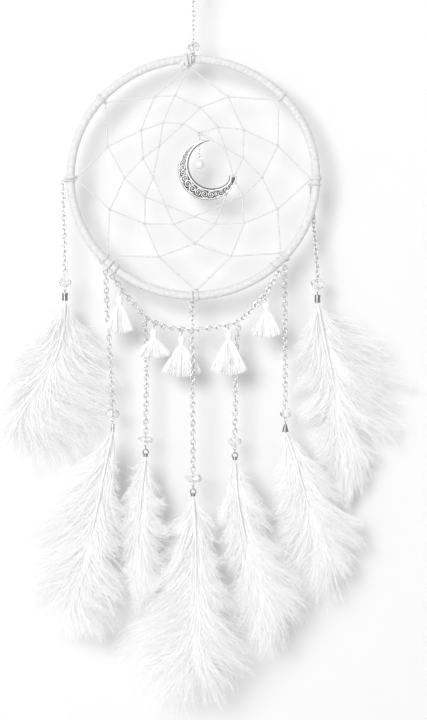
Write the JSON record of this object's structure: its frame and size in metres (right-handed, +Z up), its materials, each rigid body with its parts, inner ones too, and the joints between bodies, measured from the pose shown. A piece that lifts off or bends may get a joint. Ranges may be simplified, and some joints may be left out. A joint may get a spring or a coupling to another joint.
{
  "type": "dream catcher wall hanging",
  "caption": "Round lace-wrapped hoop with a knotted thread web, a hanging crescent moon and pearl, a tasselled swag chain and long chain strands ending in soft plumes.",
  "frame": {"origin": "centre of the hanging ring's hole, where a nail or hook takes the object", "axes": "+Z up along the hanging line, +X to the viewer's right, -Y towards the viewer; the hoop lies in the XZ plane"},
  "size_m": [0.266, 0.033, 0.467],
  "materials": {
    "bright_silver": "bright silver-plated wire, lightly worn",
    "hoop_steel": "plain steel wire, hidden inside the lace",
    "white_suede": "white suede lace, matte nap",
    "waxed_thread": "white waxed thread, slight sheen",
    "antique_silver": "antique silver, dark in the recesses",
    "pearl_white": "pearl, soft lustre",
    "quartz": "milky clear quartz chip, polished facets",
    "dark_crimp": "dark gunmetal cord end",
    "quill_white": "natural white feather shaft",
    "plume_white": "soft white marabou down",
    "tassel_cotton": "white cotton thread"
  },
  "bodies": {
    "hanger": {"hang_ring": "bright_silver"},
    "top_chain": {"hang_chain": "bright_silver", "top_bead": "quartz"},
    "hoop": {"top_ring": "bright_silver", "hoop_wire": "hoop_steel", "hoop_lace": "white_suede", "lace_tails": "white_suede", "web_thread": "waxed_thread", "strand_loops": "waxed_thread"},
    "moon_link": {"moon_ring": "bright_silver"},
    "moon": {"moon_charm": "antique_silver"},
    "pearl_drop": {"pearl_chain": "bright_silver", "pearl": "pearl_white"},
    "swag": {"swag_chain": "bright_silver"},
    "tassel_1_drop": {"tassel_ring_1": "bright_silver", "tassel_1": "tassel_cotton"},
    "tassel_2_drop": {"tassel_ring_2": "bright_silver", "tassel_2": "tassel_cotton"},
    "tassel_3_drop": {"tassel_ring_3": "bright_silver", "tassel_3": "tassel_cotton"},
    "tassel_4_drop": {"tassel_ring_4": "bright_silver", "tassel_4": "tassel_cotton"},
    "tassel_5_drop": {"tassel_ring_5": "bright_silver", "tassel_5": "tassel_cotton"},
    "strand_a": {"chain_a": "bright_silver", "bead_a": "quartz"},
    "feather_a": {"crimp_a": "dark_crimp", "quill_a": "quill_white", "plume_a": "plume_white"},
    "strand_b": {"chain_b": "bright_silver", "bead_b": "quartz"},
    "feather_b": {"crimp_b": "bright_silver", "quill_b": "quill_white", "plume_b": "plume_white"},
    "strand_c": {"chain_c": "bright_silver", "bead_c": "quartz"},
    "feather_c": {"crimp_c": "dark_crimp", "quill_c": "quill_white", "plume_c": "plume_white"},
    "strand_d": {"chain_d": "bright_silver", "bead_d": "quartz"},
    "feather_d": {"crimp_d": "dark_crimp", "quill_d": "quill_white", "plume_d": "plume_white"},
    "strand_e": {"chain_e": "bright_silver", "bead_e": "quartz"},
    "feather_e": {"crimp_e": "dark_crimp", "quill_e": "quill_white", "plume_e": "plume_white"},
    "strand_f": {"chain_f": "bright_silver", "bead_f": "quartz"},
    "feather_f": {"crimp_f": "dark_crimp", "quill_f": "quill_white", "plume_f": "plume_white"},
    "strand_g": {"chain_g": "bright_silver", "bead_g": "quartz"},
    "feather_g": {"crimp_g": "dark_crimp", "quill_g": "quill_white", "plume_g": "plume_white"}
  },
  "joints": [
    {"name": "ring_swing", "type": "hinge", "parent": "hanger", "child": "top_chain", "pos_m": [0, 0, -0.0053], "axis": [0, 1, 0], "range_deg": [-15, 15]},
    {"name": "hoop_turn", "type": "hinge", "parent": "top_chain", "child": "hoop", "pos_m": [0, -0.00349, -0.04], "axis": [0, 0, 1], "range_deg": [-4, 4]},
    {"name": "moon_tip", "type": "hinge", "parent": "hoop", "child": "moon_link", "pos_m": [0.00399, -0.002, -0.0932], "axis": [1, 0, 0], "range_deg": [-30, 0]},
    {"name": "moon_swing", "type": "hinge", "parent": "moon_link", "child": "moon", "pos_m": [0.00399, -0.002, -0.0953], "axis": [0, 1, 0], "range_deg": [-12, 12]},
    {"name": "pearl_swing", "type": "hinge", "parent": "moon", "child": "pearl_drop", "pos_m": [0.00399, -0.002, -0.1], "axis": [0, 1, 0], "range_deg": [-10, 10]},
    {"name": "swag_sway", "type": "hinge", "parent": "hoop", "child": "swag", "pos_m": [0.001, 0, -0.181], "axis": [1, 0, 0], "range_deg": [-0.5, 1]},
    {"name": "tassel_1_swing", "type": "hinge", "parent": "swag", "child": "tassel_1_drop", "pos_m": [-0.0458, 0.00139, -0.1931], "axis": [0, 1, 0], "range_deg": [-8, 8]},
    {"name": "tassel_2_swing", "type": "hinge", "parent": "swag", "child": "tassel_2_drop", "pos_m": [-0.0247, 0.0019, -0.21385], "axis": [0, 1, 0], "range_deg": [-8, 8]},
    {"name": "tassel_3_swing", "type": "hinge", "parent": "swag", "child": "tassel_3_drop", "pos_m": [-0.0073, 0.0019, -0.21805], "axis": [0, 1, 0], "range_deg": [-8, 8]},
    {"name": "tassel_4_swing", "type": "hinge", "parent": "swag", "child": "tassel_4_drop", "pos_m": [0.0222, 0.0019, -0.2152], "axis": [0, 1, 0], "range_deg": [-8, 8]},
    {"name": "tassel_5_swing", "type": "hinge", "parent": "swag", "child": "tassel_5_drop", "pos_m": [0.04545, 0.00125, -0.19695], "axis": [0, 1, 0], "range_deg": [-8, 8]},
    {"name": "strand_a_swing", "type": "hinge", "parent": "hoop", "child": "strand_a", "pos_m": [-0.08312, 0, -0.12168], "axis": [0, 1, 0], "range_deg": [-4, 8]},
    {"name": "feather_a_swing", "type": "hinge", "parent": "strand_a", "child": "feather_a", "pos_m": [-0.0818, 0, -0.19165], "axis": [0, 1, 0], "range_deg": [-8, 8]},
    {"name": "strand_b_swing", "type": "hinge", "parent": "hoop", "child": "strand_b", "pos_m": [-0.0559, 0, -0.17885], "axis": [0, 1, 0], "range_deg": [-4, 6]},
    {"name": "feather_b_swing", "type": "hinge", "parent": "strand_b", "child": "feather_b", "pos_m": [-0.0515, 0.004, -0.27525], "axis": [0, 1, 0], "range_deg": [-8, 8]},
    {"name": "strand_c_swing", "type": "hinge", "parent": "swag", "child": "strand_c", "pos_m": [-0.03123, 0.0019, -0.21196], "axis": [0, 1, 0], "range_deg": [-4, 4]},
    {"name": "feather_c_swing", "type": "hinge", "parent": "strand_c", "child": "feather_c", "pos_m": [-0.0304, 0.0034, -0.29115], "axis": [0, 1, 0], "range_deg": [-8, 8]},
    {"name": "strand_d_swing", "type": "hinge", "parent": "hoop", "child": "strand_d", "pos_m": [-0.00074, 0, -0.19975], "axis": [0, 1, 0], "range_deg": [-1.5, 5]},
    {"name": "feather_d_swing", "type": "hinge", "parent": "strand_d", "child": "feather_d", "pos_m": [-0.0001, -0.0029, -0.31615], "axis": [0, 1, 0], "range_deg": [-5, 8]},
    {"name": "strand_e_swing", "type": "hinge", "parent": "swag", "child": "strand_e", "pos_m": [0.02886, 0.0019, -0.21467], "axis": [0, 1, 0], "range_deg": [-4, 1]},
    {"name": "feather_e_swing", "type": "hinge", "parent": "strand_e", "child": "feather_e", "pos_m": [0.0266, 0.0034, -0.29325], "axis": [0, 1, 0], "range_deg": [-8, 3]},
    {"name": "strand_f_swing", "type": "hinge", "parent": "hoop", "child": "strand_f", "pos_m": [0.05854, 0, -0.17645], "axis": [0, 1, 0], "range_deg": [-6, 4]},
    {"name": "feather_f_swing", "type": "hinge", "parent": "strand_f", "child": "feather_f", "pos_m": [0.0588, 0.004, -0.27535], "axis": [0, 1, 0], "range_deg": [-8, 8]},
    {"name": "strand_g_swing", "type": "hinge", "parent": "hoop", "child": "strand_g", "pos_m": [0.07534, 0.0035, -0.1239], "axis": [0, 1, 0], "range_deg": [-8, 4]},
    {"name": "feather_g_swing", "type": "hinge", "parent": "strand_g", "child": "feather_g", "pos_m": [0.0794, 0.0053, -0.19285], "axis": [0, 1, 0], "range_deg": [-8, 8]}
  ]
}
